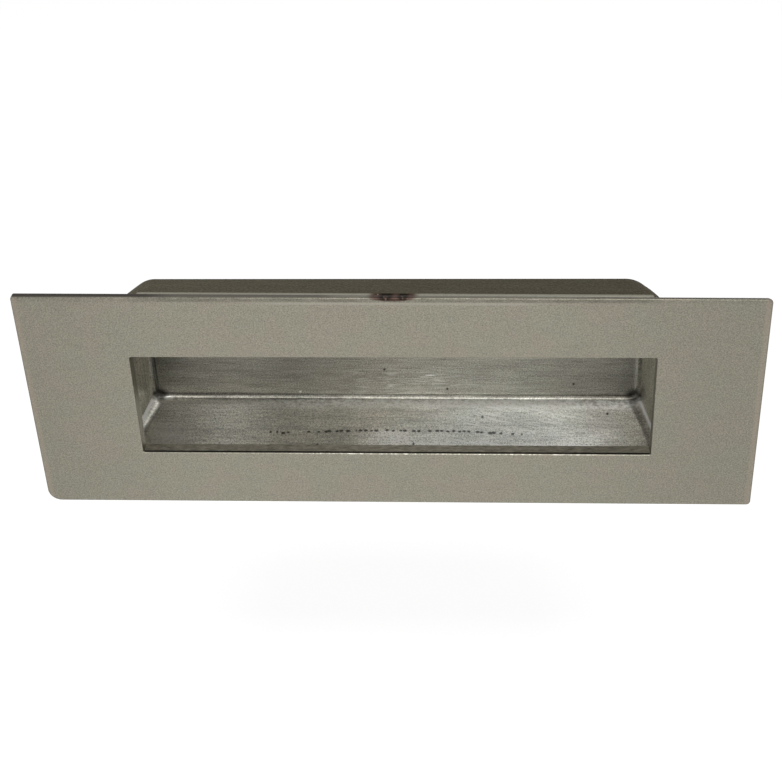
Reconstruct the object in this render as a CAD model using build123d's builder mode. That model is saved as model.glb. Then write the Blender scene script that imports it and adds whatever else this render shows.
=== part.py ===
from build123d import *
from math import radians, tan
import os

# Recessed flush pull: a flat face plate with a sharp cornered window, and a
# pressed pan with sloping walls, joined by its flange to the back of the plate.
# X runs along the plate, Y points into the door and Z points up.
# The origin is the centre of the plate's back face, which seats on the door.

# Face plate, and the borders of it round the window, which sits a little low and to the right
plate_width = 152.4
plate_height = 52.1
plate_thickness = 3.2
left_border = 22.5
right_border = 21.9
top_border = 14.4
bottom_border = 13.3
plate_front_break = 0.3
# The plate's edge stands square for a short way, then leans in towards the back, most along the top
edge_land = 1.0
top_edge_lean = 1.55
edge_lean = 0.2
window_corner_radius = 0.4
window_edge_break = 0.2
# The plate's four corners were rounded by hand and differ
corner_top_left = 0.5
corner_top_right = 1.0
corner_bottom_left = 2.8
corner_bottom_right = 0.9
# The corners of its back are all alike
back_corner_radius = 0.4

# Pan: sheet, depth inside, slopes of its long walls and of its ends in degrees,
# and corner radii inside at its mouth on the plate and at its back wall
pan_wall = 1.3
pan_inside_depth = 21.5
long_wall_angle = 20.41
end_wall_angle = 18.03
mouth_radius = 8.8
back_radius = 4.5
floor_bend_radius = 0.9
# How far the mouth reaches past the window at each end
end_overhang = 7.8
# The pan sits a little to the left of the window's middle
pan_offset = -1.4

# Flanges, bent out of the pan's straight edges where it joins the plate.
# The long ones sit to the right of the pan's middle.
long_flange_reach = 1.06
long_flange_end_relief = 0.5
long_flange_shift = 2.1
end_flange_reach = 4.0
flange_edge_break = 0.2

# Window in the plate, and where its middle lies from the plate's
window_width = plate_width - left_border - right_border
window_height = plate_height - top_border - bottom_border
window_x = (left_border - right_border) / 2
window_z = (bottom_border - top_border) / 2

# Slopes of the pan's walls and of its corner radius, as run over depth
wall_slope = tan(radians(long_wall_angle))
end_slope = tan(radians(end_wall_angle))
radius_slope = (mouth_radius - back_radius) / pan_inside_depth

# How far the outside of a sloping wall lies beyond its inside, along the plate
wall_allowance = pan_wall * (1 + wall_slope**2) ** 0.5
end_allowance = pan_wall * (1 + end_slope**2) ** 0.5

# Spans over the outer edges of both long flanges and of the pan's walls inside them.
# The lower flange ends with the plate's back, and the upper one is as far from the window.
long_flange_span = 2 * (plate_height / 2 + window_z - edge_lean)
outer_mouth_height = long_flange_span - 2 * long_flange_reach

# Inside of the pan at its mouth and at its back
mouth_width = window_width + 2 * end_overhang
mouth_height = outer_mouth_height - 2 * wall_allowance
back_width = mouth_width - 2 * end_slope * pan_inside_depth
back_height = mouth_height - 2 * wall_slope * pan_inside_depth

# Outside of the pan at its mouth and at its back
pan_outside_depth = pan_inside_depth + pan_wall
outer_mouth_width = mouth_width + 2 * end_allowance
outer_mouth_radius = mouth_radius + pan_wall
outer_back_width = back_width + 2 * (end_allowance - end_slope * pan_wall)
outer_back_height = back_height + 2 * (wall_allowance - wall_slope * pan_wall)
outer_back_radius = back_radius + pan_wall - radius_slope * pan_wall

# Where the pan is centred, the lengths of its flanges, and where the long ones are centred
pan_x = window_x + pan_offset
long_flange_length = mouth_width - 2 * mouth_radius - 2 * long_flange_end_relief
long_flange_x = pan_x + long_flange_shift
end_flange_span = outer_mouth_width + 2 * end_flange_reach
end_flange_length = outer_mouth_height - 2 * outer_mouth_radius

# Sketch planes seen from the front, with local X to the right and local Y up.
# Their normal is -Y, so a depth into the door is a negative offset.
plate_back = Plane(origin=(0, 0, 0), x_dir=(1, 0, 0), z_dir=(0, -1, 0))
pan_mouth = Plane(origin=(pan_x, 0, window_z), x_dir=(1, 0, 0), z_dir=(0, -1, 0))
land_back = plate_back.offset(plate_thickness - edge_land)


def plate_outline(plane, edge_in, top_in, radii):
    """Draw the plate's outline on a plane, moved in from its edges and from its top edge."""
    right = plate_width / 2 - edge_in
    bottom = edge_in - plate_height / 2
    top = plate_height / 2 - top_in
    with BuildSketch(plane) as outline:
        with BuildLine():
            FilletPolyline((-right, bottom), (right, bottom), (right, top), (-right, top), radius=radii, close=True)
        make_face()
    return outline.sketch


front_corner_radii = [corner_bottom_left, corner_bottom_right, corner_top_right, corner_top_left]
land_outline = plate_outline(land_back, 0, 0, front_corner_radii)
back_outline = plate_outline(plate_back, edge_lean, top_edge_lean, [back_corner_radius] * 4)

# Face plate with its window
with BuildPart() as face_plate:
    extrude(land_outline, amount=edge_land)
    front_rim = face_plate.faces().sort_by(Axis.Y)[0].outer_wire().edges()
    chamfer(front_rim, plate_front_break)
    loft([land_outline, back_outline], ruled=True)
    with BuildSketch(plate_back):
        with Locations((window_x, window_z)):
            RectangleRounded(window_width, window_height, window_corner_radius)
    extrude(amount=plate_thickness, mode=Mode.SUBTRACT)
    window_rim = face_plate.faces().sort_by(Axis.Y)[0].inner_wires()[0].edges()
    chamfer(window_rim, window_edge_break)

# Inside of the pan, as the solid that is taken out of it
with BuildPart() as pan_hollow:
    with BuildSketch(pan_mouth):
        RectangleRounded(mouth_width, mouth_height, mouth_radius)
    with BuildSketch(pan_mouth.offset(-pan_inside_depth)):
        RectangleRounded(back_width, back_height, back_radius)
    loft(ruled=True)
    fillet(pan_hollow.faces().sort_by(Axis.Y)[-1].edges(), floor_bend_radius)

# Pressed pan: flange, sloping walls and a flat back, one sheet throughout
with BuildPart() as pan:
    with BuildSketch(plate_back):
        with Locations((long_flange_x, window_z)):
            Rectangle(long_flange_length, long_flange_span)
        with Locations((pan_x, window_z)):
            Rectangle(end_flange_span, end_flange_length)
    extrude(amount=-pan_wall)
    chamfer(pan.faces().sort_by(Axis.Y)[-1].edges(), flange_edge_break)
    with BuildSketch(pan_mouth):
        RectangleRounded(outer_mouth_width, outer_mouth_height, outer_mouth_radius)
    with BuildSketch(pan_mouth.offset(-pan_outside_depth)):
        RectangleRounded(outer_back_width, outer_back_height, outer_back_radius)
    loft(ruled=True)
    fillet(pan.faces().sort_by(Axis.Y)[-1].edges(), floor_bend_radius + pan_wall)
    add(pan_hollow.part, mode=Mode.SUBTRACT)

os.makedirs("parts", exist_ok=True)
face_plate.part.label = "face_plate"
export_step(face_plate.part, "parts/face_plate.step")
pan.part.label = "pan"
export_step(pan.part, "parts/pan.step")
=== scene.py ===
import math

import bmesh
import bpy
import numpy as np
from mathutils import Matrix, Vector


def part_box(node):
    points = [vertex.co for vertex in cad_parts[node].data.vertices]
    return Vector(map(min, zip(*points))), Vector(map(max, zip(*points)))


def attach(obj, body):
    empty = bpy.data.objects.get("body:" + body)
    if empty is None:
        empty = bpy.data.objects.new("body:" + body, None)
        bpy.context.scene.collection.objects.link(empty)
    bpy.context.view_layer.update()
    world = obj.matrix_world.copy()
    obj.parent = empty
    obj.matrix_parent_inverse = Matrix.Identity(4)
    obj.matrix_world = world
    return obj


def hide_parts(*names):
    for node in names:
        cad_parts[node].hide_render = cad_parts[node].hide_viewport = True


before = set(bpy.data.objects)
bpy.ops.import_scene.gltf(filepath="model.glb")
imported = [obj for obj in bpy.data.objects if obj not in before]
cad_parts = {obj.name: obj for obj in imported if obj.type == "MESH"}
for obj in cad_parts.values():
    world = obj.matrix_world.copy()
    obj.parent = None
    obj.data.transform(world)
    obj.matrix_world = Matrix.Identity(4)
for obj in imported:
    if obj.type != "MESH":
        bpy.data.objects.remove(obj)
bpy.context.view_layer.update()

# Sizes are in millimetres. X runs along the plate, Y into the door and Z up.
MM = 0.001
scene = bpy.context.scene
plate_low, plate_high = (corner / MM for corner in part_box("face_plate"))
pan_low, pan_high = (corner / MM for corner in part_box("pan"))

# Face plate: outside from the frame, window, land, lean and roundings as on the part
PLATE_RIGHT = plate_high.x
PLATE_TOP = plate_high.z
PLATE_FRONT = plate_low.y
PLATE_CORNERS = (2.8, 0.9, 1.0, 0.5)
BACK_CORNER = 0.4
LEFT_BORDER, RIGHT_BORDER, TOP_BORDER, BOTTOM_BORDER = 22.5, 21.9, 14.4, 13.3
EDGE_LAND = 1.0
TOP_LEAN = 1.55
EDGE_LEAN = 0.2
WINDOW_CORNER = 0.4
FRONT_ARRIS = 0.3
WINDOW_ARRIS = 0.24
# Buffing rolls the face off towards its rim: how far in it starts, and how deep it goes
ROLL_OFF_WIDTH = 1.4
ROLL_OFF_DEPTH = 0.05
# Height of the window's lower edge
WINDOW_BOTTOM = BOTTOM_BORDER - PLATE_TOP

# Pan: sheet, inside sizes and slopes as on the part
SHEET = 1.3
PAN_DEPTH = pan_high.y - SHEET
PAN_X = (pan_low.x + pan_high.x) / 2
PAN_Z = (pan_low.z + pan_high.z) / 2
LONG_SLOPE = math.tan(math.radians(20.41))
END_SLOPE = math.tan(math.radians(18.03))
# Bend of the back wall into the others, outside as on the part, inside wider for the bright line along it
BEND_RADIUS = 0.9
INNER_BEND_RADIUS = 1.5
END_FLANGE_REACH = 4.0
LONG_FLANGE_REACH = 1.06
LONG_ALLOWANCE = SHEET * math.hypot(1, LONG_SLOPE)
END_ALLOWANCE = SHEET * math.hypot(1, END_SLOPE)
MOUTH_HALF_WIDTH = (pan_high.x - pan_low.x) / 2 - END_FLANGE_REACH - END_ALLOWANCE
MOUTH_HALF_HEIGHT = (pan_high.z - pan_low.z) / 2 - LONG_FLANGE_REACH - LONG_ALLOWANCE
# Corner radii outside, from the bottom left round to the top left, at the mouth, half way and at the back
OUTER_RADII = np.array(((5.0, 5.0, 15.6, 16.0), (5.0, 5.0, 8.7, 9.6), (5.2, 5.2, 6.0, 4.4)))
# Inside, the lower corners are tight and open out behind a depth, and the upper ones follow the outside
LOWER_RADIUS = 4.2
OPENING_DEPTH = 12.0
RADIUS_OPENING = 0.011
# The lower corners meet the ends in a crease this far round their arc
CREASE_ANGLE = math.radians(52.0)
LONG_FLANGE_LENGTH = 105.0
LONG_FLANGE_SHIFT = 2.1
END_FLANGE_HEIGHT = 28.27
FLANGE_EDGE = 0.2
# The top flange and the plate's top edge both fall a little from left to right
FLANGE_FALL = 0.66
TOP_FALL = 0.55
# The square part of the edge is deeper than on the part by this much at its left, less by that at its right
LAND_DEEPER = 0.7
LAND_THINNER = 0.5
# Waviness: how deep, and each sine's strength, turn per millimetre of X, Y and Z, and phase
PAN_WAVE = 0.012
WAVES = ((1.0, 0.31, 0.0, 0.0, 1.1), (0.6, 0.73, 0.4, 0.3, 0.0), (0.5, 1.27, -0.5, 0.0, 0.0))
# It starts behind a depth and before the ends, and takes a length to reach its full depth
WAVE_START = 1.0
WAVE_END_MARGIN = 12.0
WAVE_FADE = 6.0
# Points that are nearer than this, in metres, become one
MERGE_DISTANCE = 1e-8

# Colours of the metal, as base colours
FACE_COLOUR = (0.260, 0.247, 0.199)
BORDER_LINE_COLOUR = (0.36, 0.345, 0.29)
PLATE_END_COLOUR = (0.32, 0.27, 0.22)
# Edge behind the rim: painted shade, lighter in the middle
LAND_SHADE_COLOUR = (0.04, 0.034, 0.028)
LAND_LIGHTER_SHADE_COLOUR = (0.17, 0.16, 0.13)
SCORCH_COLOUR = (0.07, 0.045, 0.036)
SOOT_COLOUR = (0.016, 0.013, 0.010)
# Worn specks on the window's lower edge, partly a painted highlight
WORN_AND_HIGHLIGHT_COLOUR = (0.75, 0.73, 0.66)
SILL_COLOUR = (0.43, 0.405, 0.35)
INSIDE_COLOUR = (0.60, 0.578, 0.50)
# Painted sheen on the floor
SHEEN_COLOUR = (0.7, 0.73, 0.7)
# Bright strokes, partly painted highlight, and painted highlights along the bends and creases
STROKE_AND_HIGHLIGHT_COLOUR = (0.92, 0.92, 0.89)
# Painted light on the floor's front and left
FLOOR_PAINTED_LIGHT_COLOUR = (0.98, 0.96, 0.9)
GREENISH_TINT = (0.975, 1.012, 0.985, 1)
PINKISH_TINT = (1.035, 0.985, 0.985, 1)
OUTSIDE_COLOUR = (0.08, 0.074, 0.057)
OUTSIDE_EDGE_TINT = (0.42, 0.39, 0.34, 1)
FLANGE_COLOUR = (0.28, 0.27, 0.225)

# Scorch on the top edge, along X: middle and reach of the burnt patch, and of the sooty places in it
BURNT_PATCH = (1.1, 5.7)
SOOTY_PLACES = ((-0.3, 1.9), (3.2, 1.5))
# Row of pits on the pan's floor: Y in its middle, how much less at a distance from there, ends and spacing
PIT_ROW_Y = 13.1
PIT_ROW_BOW = 0.9
PIT_ROW_BOW_AT = 29.0
PIT_ROW_ENDS = (-26.0, 27.5)
BEAD_SPACING = 1.3
# Single pits, six on the floor and three on the back wall, and how far one reaches along each axis
LONE_PITS = ((-28.6, 12.6, -18.7), (-27.1, 12.6, -18.7), (18.7, 16.6, -17.2), (3.5, 9.8, -19.75),
             (-17.9, 9.4, -19.9), (46.5, 17.5, -16.9), (-3.2, PAN_DEPTH, -7.8), (10.8, PAN_DEPTH, -13.0),
             (39.0, PAN_DEPTH, -11.6))
LONE_PIT_REACH = (0.42, 0.55, 0.5)
# X of the back wall's lower corners, darkened as painted shade, and the painted shade at the foot of each end
# wall: place, reach and grey factor
BACK_CORNERS_X = (-54.8, 52.6)
END_FOOT_SHADES = (((52.6, 17.5, -16.9), (4.4, 6.0, 3.0), 0.85), ((-54.2, 17.5, -16.9), (4.0, 6.0, 3.0), 0.8))

# Camera, in the part's own millimetres and in pixels of the 782 pixel photograph
PHOTO_WIDTH = 782.0
VIEW_YAW = math.radians(-3.970)
VIEW_PITCH = math.radians(34.676)
VIEW_ROLL = math.radians(2.083)
AIM_POINT = (3.31, -3.2, 3.49)
AIM_DISTANCE = 331.47
FOCAL_PIXELS = 1604.2
OPTICAL_CENTRE_X = 406.64
SENSOR_WIDTH = 36.0

# Stage, in metres and watts: clipping, floor, how bright it and the world are, and lamps with place and aim
CLIP_RANGE = (0.01, 20.0)
FLOOR_REACH = 4.0
FLOOR_HEIGHT = -0.30
FLOOR_LIFT = 0.36
WORLD_LEVEL = 0.75
LAMP_SIZE = (0.24, 0.1)
LAMPS = (("high_lamp", (0.05, -0.67, 0.743), (0.02, 0.0, 0.0), 3.6),
         ("low_lamp", (-0.04, -0.87, 0.5), (0.01, 0.0, 0.0), 0.55))


def make_camera():
    """Camera that looks along yaw and pitch at its aim point, rolled about its own axis."""
    cos_yaw, sin_yaw = math.cos(VIEW_YAW), math.sin(VIEW_YAW)
    cos_pitch, sin_pitch = math.cos(VIEW_PITCH), math.sin(VIEW_PITCH)
    forward = Vector((sin_yaw * cos_pitch, cos_yaw * cos_pitch, -sin_pitch))
    level_right = Vector((cos_yaw, -sin_yaw, 0.0))
    level_down = forward.cross(level_right)
    right = math.cos(VIEW_ROLL) * level_right + math.sin(VIEW_ROLL) * level_down
    down = math.cos(VIEW_ROLL) * level_down - math.sin(VIEW_ROLL) * level_right
    data = bpy.data.cameras.new("photo_camera")
    data.sensor_width = SENSOR_WIDTH
    data.lens = FOCAL_PIXELS / PHOTO_WIDTH * SENSOR_WIDTH
    data.shift_x = (PHOTO_WIDTH / 2 - OPTICAL_CENTRE_X) / PHOTO_WIDTH
    data.clip_start, data.clip_end = CLIP_RANGE
    camera = bpy.data.objects.new("photo_camera", data)
    scene.collection.objects.link(camera)
    turn = Matrix((right, -down, -forward)).transposed()
    place = (Vector(AIM_POINT) - forward * AIM_DISTANCE) * MM
    camera.matrix_world = Matrix.Translation(place) @ turn.to_4x4()
    scene.camera = camera


class Loop:
    """Sampling of a rounded rectangle, counterclockwise as seen from the front.

    A sample lies at (1 - f) * (centre_k + r_k * e) + f * (centre_next + r_next * e), where e is the
    direction at its angle, k its corner and f its share of the straight run to the next corner.
    """

    # For each corner, which sides of an outline it lies between, and which way its centre is from there
    SIDE_X, SIDE_Z = (0, 1, 1, 0), (2, 2, 3, 3)
    INWARD_X, INWARD_Z = np.array((1, -1, -1, 1)), np.array((1, 1, -1, -1))

    def __init__(self, long_shares, short_shares, corner_steps):
        corners, shares, angles = [], [], []
        for corner, first in enumerate((180.0, 270.0, 0.0, 90.0)):
            turn = np.linspace(first, first + 90.0, corner_steps + 1)
            run = long_shares[corner // 2] if corner % 2 == 0 else short_shares
            corners.append(np.full(len(turn) + len(run), corner))
            shares.append(np.concatenate((np.zeros(len(turn)), run)))
            angles.append(np.concatenate((turn, np.full(len(run), first + 90.0))))
        self.corner = np.concatenate(corners)
        self.share = np.concatenate(shares)
        self.angle = np.radians(np.concatenate(angles))

    def points(self, outlines):
        """X and Z of every sample, one row for each outline.

        An outline is its left, right, bottom and top, and four corner radii.
        """
        sides, radii = outlines[:, :4], outlines[:, 4:]
        here, after = self.corner, (self.corner + 1) % 4
        cos, sin = np.cos(self.angle), np.sin(self.angle)

        def beside(corner):
            radius = radii[:, corner]
            x = sides[:, self.SIDE_X][:, corner] + self.INWARD_X[corner] * radius + radius * cos
            z = sides[:, self.SIDE_Z][:, corner] + self.INWARD_Z[corner] * radius + radius * sin
            return x, z

        (x_here, z_here), (x_after, z_after) = beside(here), beside(after)
        rest = 1 - self.share
        return rest * x_here + self.share * x_after, rest * z_here + self.share * z_after


def even(count):
    """Shares between 0 and 1, without the ends."""
    return np.arange(1, count) / count


def quarter(steps):
    """Angles from 0 to a right angle."""
    return np.linspace(0, math.pi / 2, steps + 1)


def skin(name, x, y, z, grain_face, grain_round, flat_rows, masks, materials, row_material, close_rows):
    """Mesh over a grid whose columns go round the part and whose rows follow its section.

    grain_face and grain_round are the two ways to lay the brushing: across and along it, in millimetres,
    with one more column than the grid where it runs round. flat_rows says which bands of rows take the
    first. Points that coincide are merged, which closes the middle of a flat wall.
    """
    rows, columns = x.shape
    points = np.stack((x, y, z), axis=-1).reshape(-1, 3) * MM
    bands = rows if close_rows else rows - 1
    row, column = np.meshgrid(np.arange(bands), np.arange(columns), indexing="ij")
    below, beside = (row + 1) % rows, (column + 1) % columns
    quads = np.stack((row * columns + column, below * columns + column,
                      below * columns + beside, row * columns + beside), axis=-1).reshape(-1, 4)
    mesh = bpy.data.meshes.new(name)
    mesh.from_pydata(points, [], quads)

    corner_rows = np.stack((row, below, below, row), axis=-1)
    corner_columns = np.stack((column, column, beside, beside), axis=-1)
    unwrapped = np.stack((column, column, column + 1, column + 1), axis=-1)
    across_face, along_face = grain_face
    across_round, along_round = grain_round
    flat = np.asarray(flat_rows)[row][..., None]
    at_corners = (corner_rows, corner_columns)
    across = np.where(flat, across_face[at_corners], across_round[at_corners])
    along = np.where(flat, along_face[at_corners], along_round[corner_rows, unwrapped])
    grain = mesh.uv_layers.new(name="grain")
    grain.data.foreach_set("uv", np.stack((across, along), axis=-1).astype(np.float32).ravel())
    for mask, values in masks.items():
        layer = mesh.attributes.new(mask, "FLOAT", "POINT")
        layer.data.foreach_set("value", np.broadcast_to(values, x.shape).astype(np.float32).ravel())
    for material in materials:
        mesh.materials.append(material)
    band_material = np.repeat(np.asarray(row_material[:bands]), columns)
    mesh.polygons.foreach_set("material_index", band_material.astype(np.int32))
    mesh.polygons.foreach_set("use_smooth", np.ones(len(quads), bool))

    work = bmesh.new()
    work.from_mesh(mesh)
    bmesh.ops.remove_doubles(work, verts=work.verts, dist=MERGE_DISTANCE)
    work.to_mesh(mesh)
    work.free()
    mesh.update()
    piece = bpy.data.objects.new(name, mesh)
    scene.collection.objects.link(piece)
    return piece


def run_length(x, z):
    """Length along each closed outline up to each sample, with the whole length at the end."""
    step_x = np.diff(x, axis=1, append=x[:, :1])
    step_z = np.diff(z, axis=1, append=z[:, :1])
    lengths = np.cumsum(np.hypot(step_x, step_z), axis=1)
    return np.concatenate((np.zeros((len(x), 1)), lengths), axis=1)


def inset(outline, along_ends, along_sides=None):
    """Outline drawn in by one amount on its long sides, and by another, if given, at its two ends."""
    ends = along_ends if along_sides is None else along_sides
    drawn = np.column_stack((ends, -ends, along_ends, -along_ends, *(-along_ends,) * 4))
    moved = outline + drawn
    moved[:, 4:] = np.maximum(moved[:, 4:], 0.0)
    return moved


def stack(bands):
    """Join named bands of rows, and give each name the numbers of its rows."""
    outlines = np.concatenate([outline for outline, depth in bands.values()])
    depths = np.concatenate([depth for outline, depth in bands.values()])
    ends = np.cumsum([len(depth) for outline, depth in bands.values()])
    rows = {name: np.arange(end - len(bands[name][1]), end) for name, end in zip(bands, ends)}
    return outlines, depths, rows


def flagged(count, rows):
    """One for the rows given and zero for the others, as a column."""
    flags = np.zeros((count, 1))
    flags[rows] = 1.0
    return flags


def make_plate(materials):
    """Face plate: one closed section carried round the window and the plate's outline.

    A row is an outline at a depth: the window's grown by g, or the plate's drawn in by e. Rounded edges
    are quarter circles in (g, depth) or (e, depth), and the face is a straight blend between the two.
    Towards the rim the face rolls off by its depth times (1 - e / width) squared. Behind the land the
    edge leans in, as a straight blend from the land's outline to the back's.
    """
    long_steps, short_steps, corner_steps, face_steps, arris_steps = 96, 36, 8, 16, 6
    near_corner = np.array((0.001, 0.004))
    long_shares = np.concatenate((near_corner, even(long_steps), 1 - near_corner[::-1]))
    short_shares = np.concatenate((3 * near_corner, even(short_steps), 1 - 3 * near_corner[::-1]))
    loop = Loop((long_shares, long_shares), short_shares, corner_steps)

    window = np.array([[LEFT_BORDER - PLATE_RIGHT, PLATE_RIGHT - RIGHT_BORDER, WINDOW_BOTTOM,
                        PLATE_TOP - TOP_BORDER, *(WINDOW_CORNER,) * 4]])
    rim = np.array([[-PLATE_RIGHT, PLATE_RIGHT, -PLATE_TOP, PLATE_TOP, *PLATE_CORNERS]])
    back = np.array([[EDGE_LEAN - PLATE_RIGHT, PLATE_RIGHT - EDGE_LEAN, EDGE_LEAN - PLATE_TOP,
                      PLATE_TOP - TOP_LEAN, *(BACK_CORNER,) * 4]])
    thickness = -PLATE_FRONT

    turn = quarter(arris_steps)
    growth = WINDOW_ARRIS * (1 - np.cos(turn))
    face_growth = np.array((0.34, 0.6))
    face_inset = np.array((2.0, 1.6, 1.35, 1.15, 0.95, 0.75, 0.55, 0.42))
    rim_inset = FRONT_ARRIS * (1 - np.sin(turn))
    inner, outer = inset(window, -face_growth[-1:]), inset(rim, face_inset[:1])
    across_face = inner + (outer - inner) * even(face_steps)[:, None]
    face = np.concatenate((inset(window, -face_growth), across_face, inset(rim, face_inset)))
    lean = np.concatenate(((0.0, 0.03), np.linspace(0.15, 0.97, 6), (1.0,)))[:, None]
    seat = np.array((0.3, 1.5))
    margin = np.array((2.0, 0.4, 0.1))
    behind_face = np.concatenate((inset(back, seat), inset(window, -margin)))
    cut = np.array((3.1, 2.9, 2.2, 1.5, 0.8, 0.4))
    land = np.array((0.36, 0.6, 0.8, 0.94))
    bands = {
        "window arris": (inset(window, -growth), WINDOW_ARRIS * (1 - np.sin(turn))),
        "face": (face, np.zeros(len(face))),
        "rim arris": (inset(rim, rim_inset), FRONT_ARRIS * (1 - np.cos(turn))),
        "land": (np.repeat(rim, len(land), axis=0), land),
        "lean": (rim + (back - rim) * lean, EDGE_LAND + (thickness - EDGE_LAND) * lean[:, 0]),
        "back": (behind_face, np.full(len(behind_face), thickness)),
        "cut": (np.repeat(window, len(cut), axis=0), cut),
    }
    outlines, depths, rows = stack(bands)
    count = len(depths)
    edge = np.concatenate((rows["land"], rows["lean"]))
    away_from_rim = 9.0
    from_rim = np.full(count, away_from_rim)
    from_rim[rows["face"][-len(face_inset):]] = face_inset
    from_rim[rows["rim arris"]] = rim_inset
    depths += ROLL_OFF_DEPTH * np.clip(1 - from_rim / ROLL_OFF_WIDTH, 0, 1) ** 2
    from_rim[np.concatenate((edge, rows["back"]))] = 0.0

    x, z = loop.points(outlines)
    to_right = (x + PLATE_RIGHT) / (2 * PLATE_RIGHT)
    to_top = np.clip((z - window[0, 3]) / TOP_BORDER, 0, 1)
    z -= TOP_FALL * to_right**2 * to_top
    behind = np.clip((depths[edge] - FRONT_ARRIS) / (EDGE_LAND - FRONT_ARRIS), 0, 1)
    behind *= np.clip((thickness - depths[edge]) / (thickness - EDGE_LAND), 0, 1)
    y = np.repeat((PLATE_FRONT + depths)[:, None], x.shape[1], axis=1)
    y[edge] += behind[:, None] * ((LAND_DEEPER - (LAND_DEEPER + LAND_THINNER) * to_right) * to_top)[edge]
    half = arris_steps // 2
    face_rows = np.concatenate((rows["window arris"][half:], rows["face"], rows["rim arris"][:half]))
    flat = flagged(count, face_rows)[:, 0] > 0
    masks = {
        "window_arris": flagged(count, rows["window arris"][1:-1]),
        "rim_arris": flagged(count, rows["rim arris"][1:-1]),
        "land": flagged(count, edge),
        "from_rim": from_rim[:, None],
    }
    return skin("flush_plate", x, y, z, (z, x), (y, run_length(x, z)), flat, masks, materials,
                np.zeros(count, int), True)


def outer_radii(depth):
    """Corner radii outside the pan: the parabola through those at its mouth, half way and at its back."""
    share = (depth / (PAN_DEPTH + SHEET))[:, None]
    mouth, middle, back = OUTER_RADII
    rest, beyond = 1 - share, 2 * share - 1
    return 4 * middle * share * rest + back * share * beyond - mouth * rest * beyond


def inner_radii(depth):
    """Corner radii inside: the lower two grow with the square of the way past a depth, the upper two
    are those outside less the sheet."""
    lower = LOWER_RADIUS + RADIUS_OPENING * np.clip(depth - OPENING_DEPTH, 0, None) ** 2
    return np.column_stack((lower, lower, outer_radii(depth)[:, 2:] - SHEET))


def pan_outline(depth, radii, end_allowance=0.0, long_allowance=0.0):
    """Outline of the pan's walls at each depth: half a side is the mouth's less its slope times the depth."""
    half_width = MOUTH_HALF_WIDTH + end_allowance - END_SLOPE * depth
    half_height = MOUTH_HALF_HEIGHT + long_allowance - LONG_SLOPE * depth
    sides = (PAN_X - half_width, PAN_X + half_width, PAN_Z - half_height, PAN_Z + half_height)
    return np.column_stack((*sides, radii))


def bend(outline_at, depth, radius, steps):
    """Rows round the bend from the back wall to the side walls: an arc about a point one radius off both."""
    turn = np.linspace(math.pi / 2, math.atan(LONG_SLOPE), steps + 1)
    centre = outline_at(np.full(len(turn), depth - radius))
    ends = radius * (math.hypot(1, END_SLOPE) - np.cos(turn))
    sides = radius * (math.hypot(1, LONG_SLOPE) - np.cos(turn))
    return inset(centre, sides, ends), depth - radius * (1 - np.sin(turn))


def flat_wall(edge, count):
    """Rows of a flat wall, from its middle line out to just inside its edge."""
    half_height = (edge[0, 3] - edge[0, 2]) / 2
    return inset(edge, half_height * np.linspace(1, 0, count + 1)[:-1])


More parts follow.
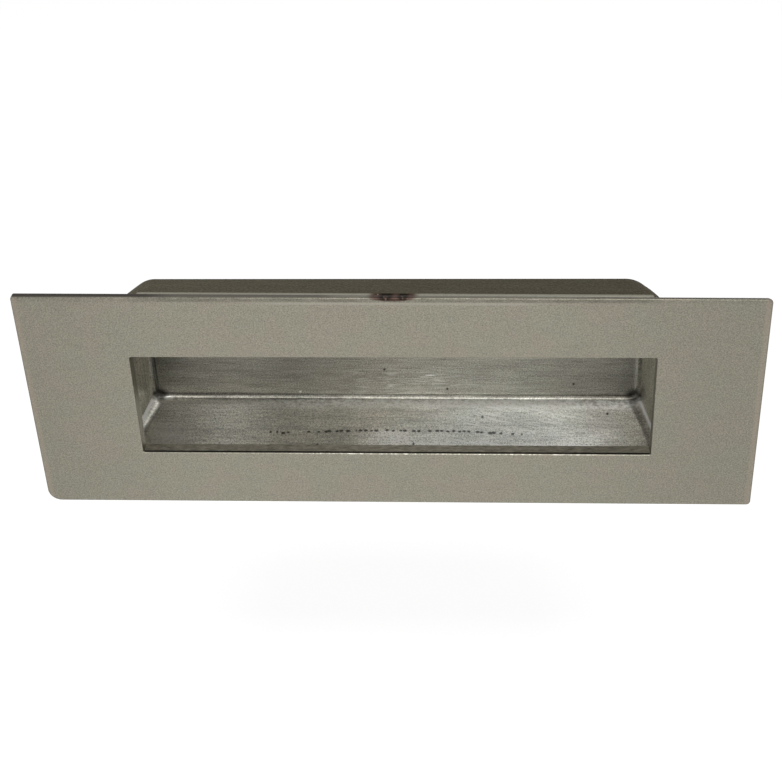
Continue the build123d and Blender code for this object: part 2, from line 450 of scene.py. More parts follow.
def make_pan(materials):
    """Pressed pan: the sheet's section, from the middle of the back wall inside, out over the mouth and
    its flange, and back to the middle of the back wall outside, carried round the pan.

    The flange is the outer wall's outline at the mouth pushed out along its own normals, by the reach of
    the flange at each sample. The long walls and the back are a little wavy: sums of sines.
    """
    def inside(depth):
        return pan_outline(depth, inner_radii(depth))

    def outside(depth):
        return pan_outline(depth, outer_radii(depth), END_ALLOWANCE, LONG_ALLOWANCE)

    long_steps, short_steps, corner_steps = 110, 34, 18
    inner_bend_steps, outer_bend_steps, inner_back_steps, outer_back_steps = 10, 8, 12, 8
    full_depth = PAN_DEPTH + SHEET
    mouth = outside(np.zeros(1))
    flange_middle = PAN_X + LONG_FLANGE_SHIFT
    cut = 0.0004

    def flange_cuts(first, last):
        """Shares of a long side, a pair where its flange starts and a pair where it ends."""
        start = mouth[0, 0] + mouth[0, 4 + first] if first == 0 else mouth[0, 1] - mouth[0, 4 + first]
        end = mouth[0, 1] - mouth[0, 4 + last] if first == 0 else mouth[0, 0] + mouth[0, 4 + last]
        places = flange_middle + np.array((-0.5, 0.5)) * LONG_FLANGE_LENGTH
        cuts = np.clip((places - start) / (end - start), 3 * cut, 1 - 3 * cut)
        return np.concatenate((cuts - cut, cuts + cut))

    # Both long sides have each other's cuts too, so that the flat walls close along their middle line
    shares = np.sort(np.concatenate((even(long_steps), flange_cuts(0, 1), 1 - flange_cuts(2, 3))))
    loop = Loop((shares, 1 - shares[::-1]), even(short_steps), corner_steps)
    inner_bend, inner_bend_depth = bend(inside, PAN_DEPTH, INNER_BEND_RADIUS, inner_bend_steps)
    outer_bend, outer_bend_depth = bend(outside, full_depth, BEND_RADIUS + SHEET, outer_bend_steps)
    inner_back = flat_wall(inner_bend[:1], inner_back_steps)
    outer_back = flat_wall(outer_bend[:1], outer_back_steps)
    down = np.concatenate((np.linspace(inner_bend_depth[-1], 0.3, 26)[1:], (0.12, 0.0)))
    behind = np.concatenate(((SHEET + 0.02,), np.linspace(SHEET + 0.4, outer_bend_depth[-1], 20)[:-1]))
    flange_depth = np.array((0.0, SHEET - FLANGE_EDGE, SHEET, SHEET))
    flange_inset = np.array((0.0, 0.0, FLANGE_EDGE, 0.0))
    bands = {
        "inner back": (inner_back, np.full(len(inner_back), PAN_DEPTH)),
        "inner bend": (inner_bend, inner_bend_depth),
        "inner wall": (inside(down), down),
        "flange": (np.repeat(mouth, len(flange_depth), axis=0), flange_depth),
        "outer wall": (outside(behind), behind),
        "outer bend": (outer_bend[::-1], outer_bend_depth[::-1]),
        "outer back": (outer_back[::-1], np.full(len(outer_back), full_depth)),
    }
    outlines, depths, rows = stack(bands)
    count = len(depths)
    x, z = loop.points(outlines)
    y = np.repeat(depths[:, None], x.shape[1], axis=1)

    inside_rows = np.concatenate((rows["inner back"], rows["inner bend"], rows["inner wall"]))
    reach = (1 - math.cos(CREASE_ANGLE)) * outlines[inside_rows, 4][:, None]
    left, right = outlines[inside_rows, 0][:, None], outlines[inside_rows, 1][:, None]
    lower = (loop.corner < 1) | ((loop.corner == 1) & (loop.share == 0))
    spread = np.where(loop.corner < 1, 2 * loop.share - 1, 1.0) * lower
    x[inside_rows] = np.clip(x[inside_rows] + reach * spread, left, right)

    mouth_x, mouth_z = (values[rows["flange"][:1]] for values in (x, z))
    on_end = np.abs(mouth_z - PAN_Z) < END_FLANGE_HEIGHT / 2
    on_long = ~on_end & (np.abs(mouth_x - flange_middle) < LONG_FLANGE_LENGTH / 2 + 0.01)
    fall = FLANGE_FALL * ((mouth_x - flange_middle) / LONG_FLANGE_LENGTH + 0.5) * (mouth_z > PAN_Z)
    end_edge = MOUTH_HALF_WIDTH + END_ALLOWANCE + END_FLANGE_REACH - flange_inset[:, None]
    long_edge = MOUTH_HALF_HEIGHT + LONG_ALLOWANCE + LONG_FLANGE_REACH - fall - flange_inset[:, None]
    pushed = rows["flange"][:-1]
    x[pushed] = np.where(on_end, PAN_X + np.sign(mouth_x - PAN_X) * end_edge[:-1], x[pushed])
    z[pushed] = np.where(on_long, PAN_Z + np.sign(mouth_z - PAN_Z) * long_edge[:-1], z[pushed])

    inner = np.concatenate((rows["inner back"], rows["inner wall"]))
    fade = np.clip((depths[inner] - WAVE_START) / WAVE_FADE, 0, 1)[:, None]
    wave = sum(strength * np.sin(turn_x * x[inner] + turn_y * y[inner] + turn_z * z[inner] + phase)
               for strength, turn_x, turn_y, turn_z, phase in WAVES)
    from_end = MOUTH_HALF_WIDTH - WAVE_END_MARGIN - np.abs(x[inner] - PAN_X)
    away_from_ends = np.clip(from_end / WAVE_FADE, 0, 1)
    wave *= PAN_WAVE * fade * away_from_ends
    back_rows = len(rows["inner back"])
    y[inner[:back_rows]] -= np.abs(wave[:back_rows])
    z[inner[back_rows:]] += wave[back_rows:] * np.round(np.sin(loop.angle), 6)

    flat = flagged(count, np.concatenate((rows["inner back"], rows["outer back"][1:])))[:, 0] > 0
    along_section = np.hypot(np.diff(depths), np.diff(outlines[:, 2]))
    from_bend = np.concatenate(((0.0,), np.cumsum(along_section)))
    from_bend -= from_bend[rows["inner bend"][inner_bend_steps // 2]]
    first_corner = (loop.corner == 0) & (loop.share == 0)
    second_corner = (loop.corner == 1) & (loop.share == 0)
    turned = np.where(second_corner, 2 * math.pi - loop.angle, math.pi)
    turned = np.where(first_corner, loop.angle - math.pi, turned)
    to_crease = np.clip((math.pi / 2 - turned) / (math.pi / 2 - CREASE_ANGLE), 0, 1)
    to_crease *= (turned > CREASE_ANGLE - 0.1) & (first_corner | second_corner)
    masks = {
        "crease": flagged(count, rows["inner wall"]) * to_crease,
        "from_bend": np.clip(from_bend, -9, 30)[:, None],
        "flange": flagged(count, rows["flange"][:3]),
    }
    skins = np.where(np.arange(count) < rows["flange"][0] - 1, 0, 1)
    return skin("pressed_pan", x, y, z, (z, x), (y, run_length(x, z)), flat, masks, materials, skins, False)


def feed(tree, node, inputs):
    """Give each input that is named a value, or another node's output."""
    for name, value in dict(inputs).items():
        if isinstance(value, bpy.types.NodeSocket):
            tree.links.new(value, node.inputs[name])
        else:
            node.inputs[name].default_value = value


def put(tree, kind, inputs=(), **settings):
    """Add a shader node with its inputs and settings."""
    node = tree.nodes.new("ShaderNode" + kind)
    for name, value in settings.items():
        setattr(node, name, value)
    feed(tree, node, inputs)
    return node


def calc(tree, operation, *values):
    """Result of a sum, product or other operation on numbers or outputs."""
    return put(tree, "Math", enumerate(values), operation=operation).outputs[0]


def times(tree, *values):
    """Product of numbers or outputs."""
    product = values[0]
    for value in values[1:]:
        product = calc(tree, "MULTIPLY", product, value)
    return product


def linear(tree, value, factor, constant):
    """A value times a factor, plus a constant."""
    return calc(tree, "MULTIPLY_ADD", value, factor, constant)


def distance(tree, value, middle):
    """How far a value is from a middle, to either side."""
    return calc(tree, "ABSOLUTE", calc(tree, "SUBTRACT", value, middle))


def ease(tree, value, low, high, to_low=0.0, to_high=1.0):
    """Smooth step from one value to another, as the first runs from low to high."""
    inputs = {"Value": value, "From Min": low, "From Max": high, "To Min": to_low, "To Max": to_high}
    return put(tree, "MapRange", inputs, interpolation_type="SMOOTHSTEP").outputs["Result"]


def blend(tree, share, first, second, mode="MIX"):
    """Second colour laid over the first one by its share."""
    return put(tree, "Mix", {0: share, 6: first, 7: second}, data_type="RGBA", blend_type=mode).outputs[2]


def grey(tree, value):
    """Colour with one value in all three channels."""
    return put(tree, "CombineColor", {0: value, 1: value, 2: value}).outputs[0]


def vector(tree, *parts):
    """Vector from up to three numbers or outputs, the rest zero."""
    return put(tree, "CombineXYZ", enumerate(parts)).outputs[0]


def length(tree, offset):
    """Length of a vector."""
    return put(tree, "VectorMath", {0: offset}, operation="LENGTH").outputs["Value"]


def stretch(tree, point, factors):
    """Point with each of its axes multiplied."""
    return put(tree, "VectorMath", {0: point, 1: factors}, operation="MULTIPLY").outputs[0]


def noise(tree, point, scale, detail=2.0, roughness=0.5):
    """Cloudy noise around one half."""
    inputs = {"Vector": point, "Scale": scale, "Detail": detail, "Roughness": roughness}
    return put(tree, "TexNoise", inputs).outputs[0]


def mask_of(tree, name):
    """Value painted on the piece's points."""
    return put(tree, "Attribute", attribute_name=name).outputs["Fac"]


def effect(name, inputs, outputs):
    """Node group with inputs, each a name, a kind and a value, and outputs, each a name and a kind."""
    tree = bpy.data.node_groups.new(name, "ShaderNodeTree")
    for label, kind, value in inputs:
        socket = tree.interface.new_socket(label, in_out="INPUT", socket_type="NodeSocket" + kind)
        socket.default_value = value
    for label, kind in outputs:
        tree.interface.new_socket(label, in_out="OUTPUT", socket_type="NodeSocket" + kind)
    return tree, tree.nodes.new("NodeGroupInput").outputs, tree.nodes.new("NodeGroupOutput").inputs


def use(tree, group, inputs):
    """Place an effect and give its outputs."""
    return put(tree, "Group", inputs, node_tree=group).outputs


def make_brushing():
    """Fine lines along the brushing: noise on the grain map, short across it and long along it."""
    start = [("Grain", "Vector", (0, 0, 0)), ("Lines", "Float", 3.0), ("Length", "Float", 9.0)]
    tree, given, out = effect("brushing", start, [("Shade", "Float"), ("Height", "Float")])
    across, along = put(tree, "SeparateXYZ", {0: given["Grain"]}).outputs[:2]
    count = times(tree, across, given["Lines"])
    run = calc(tree, "DIVIDE", along, given["Length"])
    broad_count, broad_run = times(tree, count, 0.22), times(tree, run, 0.5)
    lines = noise(tree, vector(tree, count, run), 1.0, 3.0, 0.6)
    bands = noise(tree, vector(tree, broad_count, broad_run), 1.0, 1.0, 0.5)
    both = calc(tree, "ADD", times(tree, lines, 0.65), times(tree, bands, 0.35))
    tree.links.new(ease(tree, both, 0.3, 0.7), out["Shade"])
    tree.links.new(lines, out["Height"])
    return tree


def make_tarnish():
    """Soft blotches, a little pink and a little green, and a fine even grain, as a colour to multiply by."""
    start = [("Point", "Vector", (0, 0, 0)), ("Blotch", "Float", 6.0), ("Grain", "Float", 0.06),
             ("Hue", "Float", 1.0)]
    tree, given, out = effect("tarnish", start, [("Tint", "Color")])
    soft = noise(tree, given["Point"], calc(tree, "DIVIDE", 1.0, given["Blotch"]), 1.5, 0.5)
    tint = blend(tree, ease(tree, soft, 0.36, 0.64), GREENISH_TINT, PINKISH_TINT)
    tint = blend(tree, given["Hue"], (1, 1, 1, 1), tint)
    fine = noise(tree, given["Point"], 3.4, 2.0, 0.7)
    strength = times(tree, given["Grain"], 6.0)
    spread = linear(tree, calc(tree, "SUBTRACT", fine, 0.5), strength, 1.0)
    tree.links.new(blend(tree, 1.0, tint, grey(tree, spread), "MULTIPLY"), out["Tint"])
    return tree


def make_pits():
    """Sparse round pits: near the middle of a few of the cells of a spacing."""
    start = [("Point", "Vector", (0, 0, 0)), ("Spacing", "Float", 5.0), ("Size", "Float", 0.25),
             ("Share", "Float", 0.3)]
    tree, given, out = effect("pits", start, [("Mask", "Float")])
    inputs = {"Vector": given["Point"], "Scale": calc(tree, "DIVIDE", 1.0, given["Spacing"])}
    cells = put(tree, "TexVoronoi", inputs)
    chance, size = put(tree, "SeparateColor", {0: cells.outputs["Color"]}).outputs[:2]
    away = times(tree, cells.outputs["Distance"], given["Spacing"])
    reach = times(tree, given["Size"], linear(tree, size, 0.8, 0.4))
    there = calc(tree, "LESS_THAN", chance, given["Share"])
    dip = ease(tree, calc(tree, "DIVIDE", away, reach), 1.0, 0.45)
    tree.links.new(times(tree, dip, there), out["Mask"])
    return tree


def make_mark():
    """One soft mark at a place: an ellipsoid with a reach along each axis."""
    start = [("Point", "Vector", (0, 0, 0)), ("Place", "Vector", (0, 0, 0)), ("Reach", "Vector", (1, 1, 1)),
             ("Softness", "Float", 0.6)]
    tree, given, out = effect("mark", start, [("Mask", "Float")])
    offset = put(tree, "VectorMath", {0: given["Point"], 1: given["Place"]}, operation="SUBTRACT").outputs[0]
    scaled = put(tree, "VectorMath", {0: offset, 1: given["Reach"]}, operation="DIVIDE").outputs[0]
    core = calc(tree, "SUBTRACT", 1.0, given["Softness"])
    tree.links.new(ease(tree, length(tree, scaled), 1.0, core), out["Mask"])
    return tree


def make_strokes():
    """Short thin bright strokes that lie along X at a slope, by noise turned and stretched."""
    start = [("Point", "Vector", (0, 0, 0)), ("Slope", "Float", 0.0), ("Stroke", "Float", 3.5),
             ("Thickness", "Float", 0.4)]
    tree, given, out = effect("strokes", start, [("Mask", "Float")])
    inputs = {"Vector": given["Point"], "Angle": given["Slope"]}
    turned = put(tree, "VectorRotate", inputs, rotation_type="Z_AXIS").outputs[0]
    along, across = put(tree, "SeparateXYZ", {0: turned}).outputs[:2]
    along = calc(tree, "DIVIDE", along, given["Stroke"])
    across = calc(tree, "DIVIDE", across, given["Thickness"])
    lines = noise(tree, vector(tree, along, across), 1.0, 1.0, 0.4)
    tree.links.new(ease(tree, lines, 0.5, 0.72), out["Mask"])
    return tree


brushing, tarnish, pits = make_brushing(), make_tarnish(), make_pits()
mark, strokes = make_mark(), make_strokes()


class Finish:
    """A metal being painted: its node tree, its point in millimetres and its colour so far."""

    def __init__(self, name, colour, metallic, roughness, anisotropic=0.0, tint=(1, 1, 1, 1)):
        self.material = bpy.data.materials.new(name)
        self.material.use_nodes = True
        self.tree = tree = self.material.node_tree
        self.shader = tree.nodes["Principled BSDF"]
        feed(tree, self.shader, {"Metallic": metallic, "Roughness": roughness,
                                 "Anisotropic": anisotropic, "Specular Tint": tint})
        here = put(tree, "TexCoord").outputs["Object"]
        self.point = put(tree, "VectorMath", {0: here, "Scale": 1 / MM}, operation="SCALE").outputs[0]
        self.x, self.y, self.z = put(tree, "SeparateXYZ", {0: self.point}).outputs
        self.grain = put(tree, "UVMap", uv_map="grain").outputs[0]
        self.colour = (*colour, 1)
        if anisotropic:
            tangent = put(tree, "Tangent", direction_type="UV_MAP", uv_map="grain").outputs[0]
            feed(tree, self.shader, {"Tangent": tangent})

    def cover(self, colour, *shares):
        """Lay a colour over the metal by the product of shares."""
        self.colour = blend(self.tree, times(self.tree, *shares), self.colour, (*colour, 1))

    def shade(self, factor, *shares):
        """Multiply the colour by a grey factor, as far as the product of shares goes."""
        darker = (factor, factor, factor, 1)
        self.colour = blend(self.tree, times(self.tree, *shares), self.colour, darker, "MULTIPLY")

    def scale(self, factor):
        """Multiply the colour by an output."""
        self.colour = blend(self.tree, 1.0, self.colour, grey(self.tree, factor), "MULTIPLY")

    def vary(self, share, amount, level=1.0):
        """Multiply the colour by a level and an amount of the share more."""
        self.scale(linear(self.tree, share, amount, level))

    def brush(self, lines, reach, amount, level):
        """Vary the colour along brushed lines, so many to a millimetre and so long, and give their height."""
        brushed = use(self.tree, brushing, {"Grain": self.grain, "Lines": lines, "Length": reach})
        self.vary(brushed["Shade"], amount, level)
        return brushed["Height"]

    def tarnish(self, blotch, grain, hue):
        """Multiply the colour by tarnish: its blotch in millimetres, and how strong its grain and hue are."""
        inputs = {"Point": self.point, "Blotch": blotch, "Grain": grain, "Hue": hue}
        tint = use(self.tree, tarnish, inputs)["Tint"]
        self.colour = blend(self.tree, 1.0, self.colour, tint, "MULTIPLY")

    def pitted(self, spacing, size, share):
        """Mask of scattered pits."""
        inputs = {"Point": self.point, "Spacing": spacing, "Size": size, "Share": share}
        return use(self.tree, pits, inputs)["Mask"]

    def marked(self, place, reach, softness):
        """Mask of one soft mark at a place."""
        inputs = {"Point": self.point, "Place": place, "Reach": reach, "Softness": softness}
        return use(self.tree, mark, inputs)["Mask"]

    def between(self, value, low, high, edge):
        """One between two values, falling off over an edge outside them."""
        rising = ease(self.tree, value, low - edge, low)
        return times(self.tree, rising, ease(self.tree, value, high + edge, high))

    def finish(self, height, depth):
        """Wire the colour, and the height as a bump so many millimetres deep, into the shader."""
        bump = put(self.tree, "Bump", {"Height": height, "Distance": depth * MM, "Strength": 1.0})
        feed(self.tree, self.shader, {"Base Color": self.colour, "Normal": bump.outputs[0]})
        return self.material


def scorch(metal, depth, height, deep, high):
    """Burnt patch at the joint between plate and pan, reddish, with two sooty places in it."""
    tree = metal.tree
    blots = noise(tree, stretch(tree, metal.point, (1.0, 0.5, 0.5)), 0.9, 2.0, 0.6)
    middle, reach = BURNT_PATCH
    burnt = metal.marked((middle, depth, height), (reach, deep, high), 0.35)
    metal.cover(SCORCH_COLOUR, burnt, ease(tree, blots, 0.2, 0.4))
    for middle, reach in SOOTY_PLACES:
        sooty = metal.marked((middle, depth, height), (reach, deep, high), 0.6)
        metal.cover(SOOT_COLOUR, sooty, ease(tree, blots, 0.3, 0.5))


def satin_metal():
    """Face plate: grey brushed metal, dull on its upper edge, with painted shade on its rim and top edge, and
    worn specks with a painted highlight along the window.
    """
    metal = Finish("satin_face", FACE_COLOUR, metallic=1.0, roughness=0.42, anisotropic=0.4)
    tree = metal.tree
    brushed = metal.brush(lines=2.4, reach=5.0, amount=0.05, level=0.975)
    metal.tarnish(blotch=7.0, grain=0.26, hue=0.5)
    metal.scale(ease(tree, distance(tree, metal.x, -7.0), 30.0, 82.0, 1.01, 0.87))

    # A dull strip below the top edge, a lighter line below that, and the dull ends
    rim = mask_of(tree, "from_rim")
    high = ease(tree, metal.z, PLATE_TOP - 3.0, PLATE_TOP - 2.4)
    middle = metal.between(metal.x, -48.0, 50.0, 6.0)
    cloud = ease(tree, noise(tree, stretch(tree, metal.point, (0.25, 1, 1)), 1.0), 0.35, 0.6)
    strip = times(tree, ease(tree, rim, 1.15, 0.75), high, linear(tree, middle, 0.75, 0.25))
    metal.shade(0.68, strip, linear(tree, cloud, 0.4, 0.6))
    line = times(tree, metal.between(rim, 1.2, 1.45, 0.3), high, metal.between(metal.x, -20.0, 24.0, 12.0))
    metal.cover(BORDER_LINE_COLOUR, line, 0.5)
    ends = ease(tree, distance(tree, metal.x, 0.0), 74.6, 75.2)
    metal.cover(PLATE_END_COLOUR, ends, 0.35)

    # The rounded rim, darkened as painted shade on its highlight, and the edge behind it, painted dark as
    # shade where it faces away from the light, darkest at the plate's two ends and least in the middle
    # Painted shade over the rounded rim's highlight
    metal.shade(0.8, mask_of(tree, "rim_arris"))
    land = mask_of(tree, "land")
    metal.cover(LAND_SHADE_COLOUR, land)
    least_shaded = metal.between(metal.x, -9.0, 38.0, 5.0)
    less_shaded = metal.between(metal.x, -42.0, 50.0, 8.0)
    metal.cover(LAND_LIGHTER_SHADE_COLOUR, land, less_shaded, 0.45)
    metal.cover(LAND_LIGHTER_SHADE_COLOUR, land, least_shaded, 0.85)
    scorch(metal, -2.4, 26.0, 3.0, 1.0)

    # The window's lower edge, worn in specks that are partly a painted highlight, and the sill behind it
    specks = ease(tree, noise(tree, stretch(tree, metal.point, (1.3, 1, 1)), 1.0, 3.0, 0.7), 0.46, 0.66)
    worn_and_lit = times(tree, mask_of(tree, "window_arris"), ease(tree, metal.z, -10.0, -11.0))
    centre = metal.between(metal.x, -12.0, 34.0, 14.0)
    metal.cover(WORN_AND_HIGHLIGHT_COLOUR, worn_and_lit, linear(tree, centre, 0.5, 0.12), specks)
    below = ease(tree, metal.z, WINDOW_BOTTOM + 0.15, WINDOW_BOTTOM + 0.03)
    above = ease(tree, metal.z, WINDOW_BOTTOM - 0.15, WINDOW_BOTTOM - 0.05)
    behind = ease(tree, metal.y, PLATE_FRONT + 0.2, PLATE_FRONT + 0.3)
    sill = times(tree, below, above, behind, ease(tree, distance(tree, metal.x, 0.0), 55.0, 54.4))
    metal.cover(SILL_COLOUR, sill)
    rubbing = noise(tree, stretch(tree, metal.point, (0.5, 1.2, 1)), 1.1, 3.0, 0.7)
    metal.vary(times(tree, sill, calc(tree, "SUBTRACT", rubbing, 0.5)), 2.0)
    metal.vary(sill, ease(tree, metal.x, 0.0, 40.0, 0.25, 0.0))
    metal.shade(0.08, sill, metal.between(metal.y, -3.0, -2.5, 0.15))

    dents = metal.pitted(spacing=4.0, size=0.16, share=0.25)
    metal.shade(0.6, dents, 0.25)
    return metal.finish(calc(tree, "SUBTRACT", times(tree, brushed, 0.35), dents), 0.012)


def paint_inside_light_and_shade(metal, on_floor, on_back, on_end):
    """Broad painted light and shade on the pan's floor, back and ends, and the mask of its painted sheen."""
    tree = metal.tree
    # Painted light in the middle of the back wall and at its left end
    back_painted_light = ease(tree, distance(tree, metal.x, 14.0), 42.0, 6.0, 0.0, 0.15)
    back_painted_light = calc(tree, "ADD", back_painted_light, ease(tree, metal.x, -20.0, 50.0, -0.54, -0.5))
    metal.vary(on_back, back_painted_light)
    metal.vary(times(tree, on_back, ease(tree, metal.x, -47.5, -53.5)), 0.5)
    # Painted shade and light across the floor, and painted light on the right end wall
    metal.shade(0.82, on_floor, metal.between(metal.x, -27.0, -14.0, 12.0))
    metal.cover(FLOOR_PAINTED_LIGHT_COLOUR, on_floor, ease(tree, metal.x, -24.0, -40.0), 0.4)
    metal.shade(0.6, on_floor, ease(tree, metal.x, 34.0, 46.0))
    metal.vary(times(tree, on_end, ease(tree, metal.x, 40.0, 50.0)), 0.4)
    # Painted light on the floor's front
    near_painted_light = times(tree, on_floor, ease(tree, metal.y, 15.5, 10.8))
    metal.cover(FLOOR_PAINTED_LIGHT_COLOUR, near_painted_light, metal.between(metal.x, 0.0, 38.0, 14.0), 0.95)
    # Painted sheen over the floor's middle and right
    painted_sheen = times(tree, metal.marked((23.0, 12.0, -18.0), (30.0, 16.0, 16.0), 0.8), on_floor)
    metal.cover(SHEEN_COLOUR, painted_sheen, 0.8)
    return painted_sheen


def strokes_and_highlights_inside(metal, on_floor, on_back, painted_sheen):
    """Bright strokes on the floor's right and left and on the back wall, partly painted highlight, painted
    light over the floor's left corner, and two nicks.
    """
    tree = metal.tree
    unfolded = vector(tree, metal.x, calc(tree, "SUBTRACT", metal.z, metal.y))

    def stroked(slope, stroke, thickness):
        inputs = {"Point": unfolded, "Slope": slope, "Stroke": stroke, "Thickness": thickness}
        return use(tree, strokes, inputs)["Mask"]

    # Bright strokes in the painted sheen, partly painted highlight
    metal.cover(STROKE_AND_HIGHLIGHT_COLOUR, painted_sheen, stroked(-0.13, 6.5, 0.34), 0.9)
    # Bright strokes on the lit middle of the back wall: painted highlight along its brushing
    lit = times(tree, metal.marked((4.0, PAN_DEPTH, -11.5), (26.0, 6.0, 6.0), 0.8), on_back)
    metal.cover(STROKE_AND_HIGHLIGHT_COLOUR, lit, stroked(0.0, 3.5, 0.35), 0.38)
    # Scratches over the floor's left corner, with painted light over the whole corner
    corner = times(tree, metal.marked((-53.5, 10.5, -19.5), (10.0, 7.5, 7.5), 0.75), on_floor)
    metal.cover(STROKE_AND_HIGHLIGHT_COLOUR, corner, linear(tree, stroked(0.5, 2.6, 0.4), 0.6, 0.4))
    metal.cover(STROKE_AND_HIGHLIGHT_COLOUR, metal.marked((7.0, PAN_DEPTH, -9.3), (1.5, 2.0, 0.16), 0.5))
    nick = metal.marked((-22.5, PAN_DEPTH, -13.9), (0.45, 2.0, 0.4), 0.7)
    metal.cover(STROKE_AND_HIGHLIGHT_COLOUR, nick, 0.6)


def paint_bend_shade_and_highlights(metal, low_wall):
    """Painted shade and painted highlights along the bend at the back wall's foot, its corners and the
    creases.
    """
    tree = metal.tree
    bend = mask_of(tree, "from_bend")
    dotted = ease(tree, noise(tree, stretch(tree, metal.point, (1.0, 0.5, 0.5)), 1.2, 2.0, 0.6), 0.3, 0.6)
    far = ease(tree, distance(tree, metal.x, 6.0), 14.0, 50.0, 0.1, 0.7)
    # Dark line along the bend: painted shade, strongest towards the ends
    from_dark_line = calc(tree, "ADD", bend, ease(tree, metal.z, -14.6, -11.6, 0.0, -0.75))
    bend_shade = times(tree, metal.between(from_dark_line, -1.1, -0.6, 0.25), far, linear(tree, dotted, 0.3, 0.7))
    metal.shade(0.25, bend_shade, ease(tree, metal.z, -10.5, -13.0, 0.8, 0.9))
    # Painted shade over the bend's own highlight, painted light on its upper side from the middle rightwards,
    # and painted shade on its left upright
    metal.shade(0.56, metal.between(bend, 0.0, 0.6, 0.2), linear(tree, dotted, -0.7, 1.0))
    metal.shade(0.72, metal.between(bend, -0.05, 0.65, 0.2), metal.between(metal.x, -41.0, -14.0, 6.0))
    foot_painted_light = times(tree, metal.between(bend, -0.95, -0.4, 0.3), ease(tree, metal.x, -45.0, -20.0, 0.0, 0.38))
    metal.scale(calc(tree, "ADD", foot_painted_light, 1.0))
    upright = times(tree, ease(tree, metal.z, -14.2, -12.6), ease(tree, metal.x, -40.0, -50.0))
    metal.shade(0.4, metal.between(bend, -0.95, -0.3, 0.2), upright)

    # Bright ridge below the bend: painted highlight
    spots = noise(tree, stretch(tree, metal.point, (0.8, 1.2, 1.2)), 1.3, 3.0, 0.7)
    flecks = ease(tree, spots, 0.38, 0.6, 0.25, 1.0)
    ridge_highlight = times(tree, ease(tree, bend, 0.4, 0.6), ease(tree, bend, 3.8, 0.9), flecks, low_wall)
    metal.cover(STROKE_AND_HIGHLIGHT_COLOUR, ridge_highlight, ease(tree, metal.x, -48.0, 0.0, 0.4, 1.0))

    # Painted shade in the back wall's lower corners and at the foot of each end wall
    for corner_x in BACK_CORNERS_X:
        metal.shade(0.2, metal.marked((corner_x, PAN_DEPTH, -14.7), (2.7, 2.0, 2.5), 0.65))
    for place, reach, factor in END_FOOT_SHADES:
        metal.shade(factor, metal.marked(place, reach, 0.9))
    # Painted highlight along each crease with painted shade beside it, and a painted highlight at the left
    # corner
    crease = mask_of(tree, "crease")
    metal.cover(STROKE_AND_HIGHLIGHT_COLOUR, ease(tree, crease, 0.6, 0.95))
    metal.shade(0.7, metal.between(crease, 0.17, 0.35, 0.15))
    metal.cover(STROKE_AND_HIGHLIGHT_COLOUR, metal.marked((-52.6, 21.1, -15.6), (1.4, 0.9, 0.7), 0.6))


def pit_row(metal, on_floor):
    """Mask of the row of pits on the floor, in clumps, with a single pit here and there.

    A pit is an oval about the middle of each cell of a spacing along X, where its length counts less than
    its width. The row's distance is Y less its Y in the middle, plus its bow times (x / distance) squared.
    """
    tree = metal.tree
    bow = calc(tree, "POWER", calc(tree, "DIVIDE", metal.x, PIT_ROW_BOW_AT), 2.0)
    from_row = calc(tree, "ADD", calc(tree, "SUBTRACT", metal.y, PIT_ROW_Y), times(tree, bow, PIT_ROW_BOW))
    inputs = {"W": calc(tree, "DIVIDE", metal.x, BEAD_SPACING), "Scale": 1.0, "Randomness": 0.75}
    cells = put(tree, "TexVoronoi", inputs, voronoi_dimensions="1D")
    chance, size, drift = put(tree, "SeparateColor", {0: cells.outputs["Color"]}).outputs
    along = times(tree, cells.outputs["Distance"], BEAD_SPACING * 0.62)
    off_row = calc(tree, "ADD", from_row, linear(tree, drift, 0.2, -0.1))
    away = length(tree, vector(tree, along, off_row))
    oval = ease(tree, calc(tree, "DIVIDE", away, linear(tree, size, 0.2, 0.28)), 1.0, 0.45)
    there = calc(tree, "GREATER_THAN", chance, 0.06)
    clumps = ease(tree, noise(tree, vector(tree, metal.x), 0.55, 1.0, 0.5), 0.32, 0.41)
    holes = times(tree, oval, there, clumps, on_floor, metal.between(metal.x, *PIT_ROW_ENDS, 0.3))
    for place in LONE_PITS:
        holes = calc(tree, "MAXIMUM", holes, metal.marked(place, LONE_PIT_REACH, 0.7))
    return holes


def brushed_inside():
    """Inside of the pan: brighter brushed metal with painted light and shade, a painted sheen and painted
    highlights, painted shade along its bends, pits and strokes.
    """
    metal = Finish("brushed_inside", INSIDE_COLOUR, metallic=0.9, roughness=0.42, anisotropic=0.9)
    tree = metal.tree
    normal = put(tree, "NewGeometry").outputs["Normal"]
    facing_x, facing_y, facing_z = put(tree, "SeparateXYZ", {0: normal}).outputs
    on_floor = ease(tree, facing_z, 0.55, 0.75)
    on_back = ease(tree, facing_y, -0.75, -0.92)
    on_end = ease(tree, distance(tree, facing_x, 0.0), 0.75, 0.88)

    painted_sheen = paint_inside_light_and_shade(metal, on_floor, on_back, on_end)
    brushed = metal.brush(lines=2.6, reach=7.0, amount=0.44, level=0.78)
    metal.tarnish(blotch=6.0, grain=0.42, hue=0.3)
    strokes_and_highlights_inside(metal, on_floor, on_back, painted_sheen)
    paint_bend_shade_and_highlights(metal, ease(tree, facing_z, 0.1, 0.3))
    dents = metal.pitted(spacing=5.0, size=0.2, share=0.2)
    holes = calc(tree, "MAXIMUM", pit_row(metal, on_floor), times(tree, dents, 0.6))
    metal.shade(0.2, holes)
    return metal.finish(calc(tree, "SUBTRACT", times(tree, brushed, 0.5), dents), 0.02)


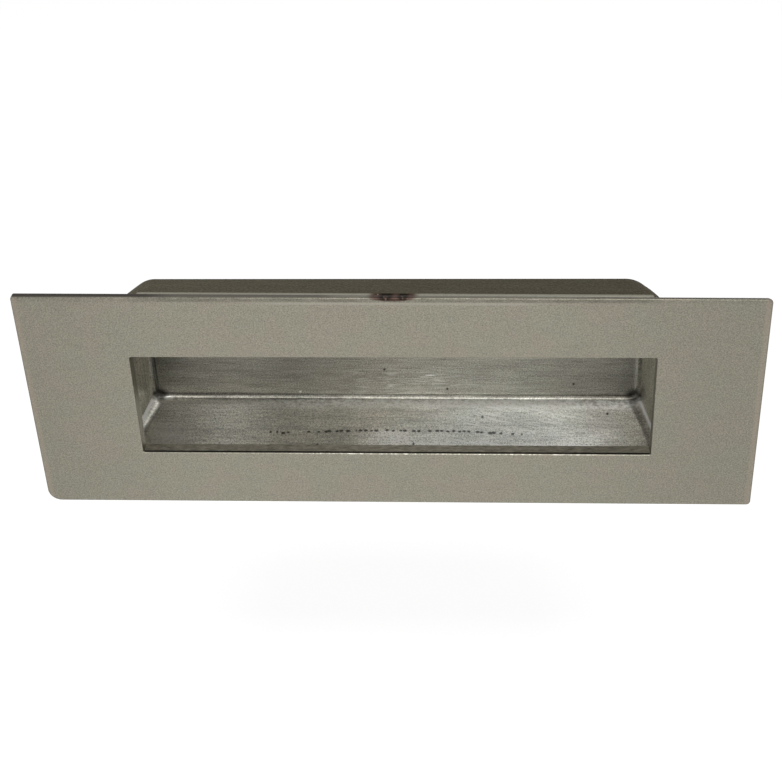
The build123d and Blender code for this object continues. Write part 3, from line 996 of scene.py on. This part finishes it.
def dull_outside():
    """Outside of the pan: dark mill metal, lighter on the flange, darker just behind its mouth and along its
    back bend.
    """
    metal = Finish("dull_outside", OUTSIDE_COLOUR, metallic=0.9, roughness=0.55, tint=OUTSIDE_EDGE_TINT)
    tree = metal.tree
    brushed = metal.brush(lines=1.2, reach=12.0, amount=0.3, level=0.85)
    metal.scale(ease(tree, metal.x, -60.0, 60.0, 1.12, 0.88))
    metal.tarnish(blotch=9.0, grain=0.42, hue=0.5)
    metal.shade(0.7, metal.between(metal.y, SHEET + 0.1, SHEET + 0.7, 0.5))
    metal.shade(0.5, metal.between(metal.y, 21.2, 21.9, 0.8))
    metal.cover(FLANGE_COLOUR, mask_of(tree, "flange"))
    scorch(metal, 0.4, 24.6, 2.6, 1.3)
    dents = metal.pitted(spacing=3.0, size=0.25, share=0.3)
    mottle = noise(tree, metal.point, 1.6, 3.0, 0.7)
    feed(tree, metal.shader, {"Roughness": ease(tree, mottle, 0.3, 0.7, 0.38, 0.72)})
    return metal.finish(calc(tree, "SUBTRACT", times(tree, brushed, 0.5), dents), 0.02)


def lifted(tree, low, high):
    """Low for light that falls on surfaces, high for what the camera and mirrors see directly."""
    path = put(tree, "LightPath").outputs
    seen = calc(tree, "MAXIMUM", path["Is Camera Ray"], path["Is Glossy Ray"])
    seen = calc(tree, "MAXIMUM", seen, path["Is Transmission Ray"])
    return linear(tree, seen, high - low, low)


def make_stage():
    """Pale floor below the part, and white all round."""
    corners = [(x, y, FLOOR_HEIGHT) for x, y in FLOOR_REACH * np.array(((-1, -1), (1, -1), (1, 1), (-1, 1)))]
    floor_mesh = bpy.data.meshes.new("floor")
    floor_mesh.from_pydata(corners, [], [(0, 1, 2, 3)])
    floor = bpy.data.objects.new("floor", floor_mesh)
    scene.collection.objects.link(floor)
    paint = bpy.data.materials.new("pale_floor")
    paint.use_nodes = True
    tree = paint.node_tree
    feed(tree, tree.nodes["Principled BSDF"], {
        "Base Color": (0.8, 0.8, 0.8, 1), "Roughness": 0.9, "Specular IOR Level": 0.0,
        "Emission Color": (1, 1, 1, 1), "Emission Strength": lifted(tree, 0.0, FLOOR_LIFT)})
    floor_mesh.materials.append(paint)

    world = bpy.data.worlds.new("studio")
    scene.world = world
    world.use_nodes = True
    tree = world.node_tree
    feed(tree, tree.nodes["Background"], {"Color": (1, 1, 1, 1), "Strength": lifted(tree, WORLD_LEVEL, 1.0)})


def make_lamp(name, place, aim, power):
    """Rectangular lamp at a place, turned to its aim, in metres and watts."""
    light = bpy.data.lights.new(name, "AREA")
    light.shape = "RECTANGLE"
    light.size, light.size_y = LAMP_SIZE
    light.energy = power
    lamp = bpy.data.objects.new(name, light)
    scene.collection.objects.link(lamp)
    lamp.location = place
    lamp.rotation_euler = (Vector(aim) - Vector(place)).to_track_quat("-Z", "Y").to_euler()


make_camera()
make_stage()
for name, place, aim, power in LAMPS:
    make_lamp(name, place, aim, power)

plate = make_plate([satin_metal()])
pan = make_pan([brushed_inside(), dull_outside()])
for piece, node, slot in ((plate, "face_plate", "satin_plate"), (pan, "pan", "pressed_pan")):
    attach(piece, "root")
    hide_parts(node)

scene.view_settings.view_transform = "Standard"
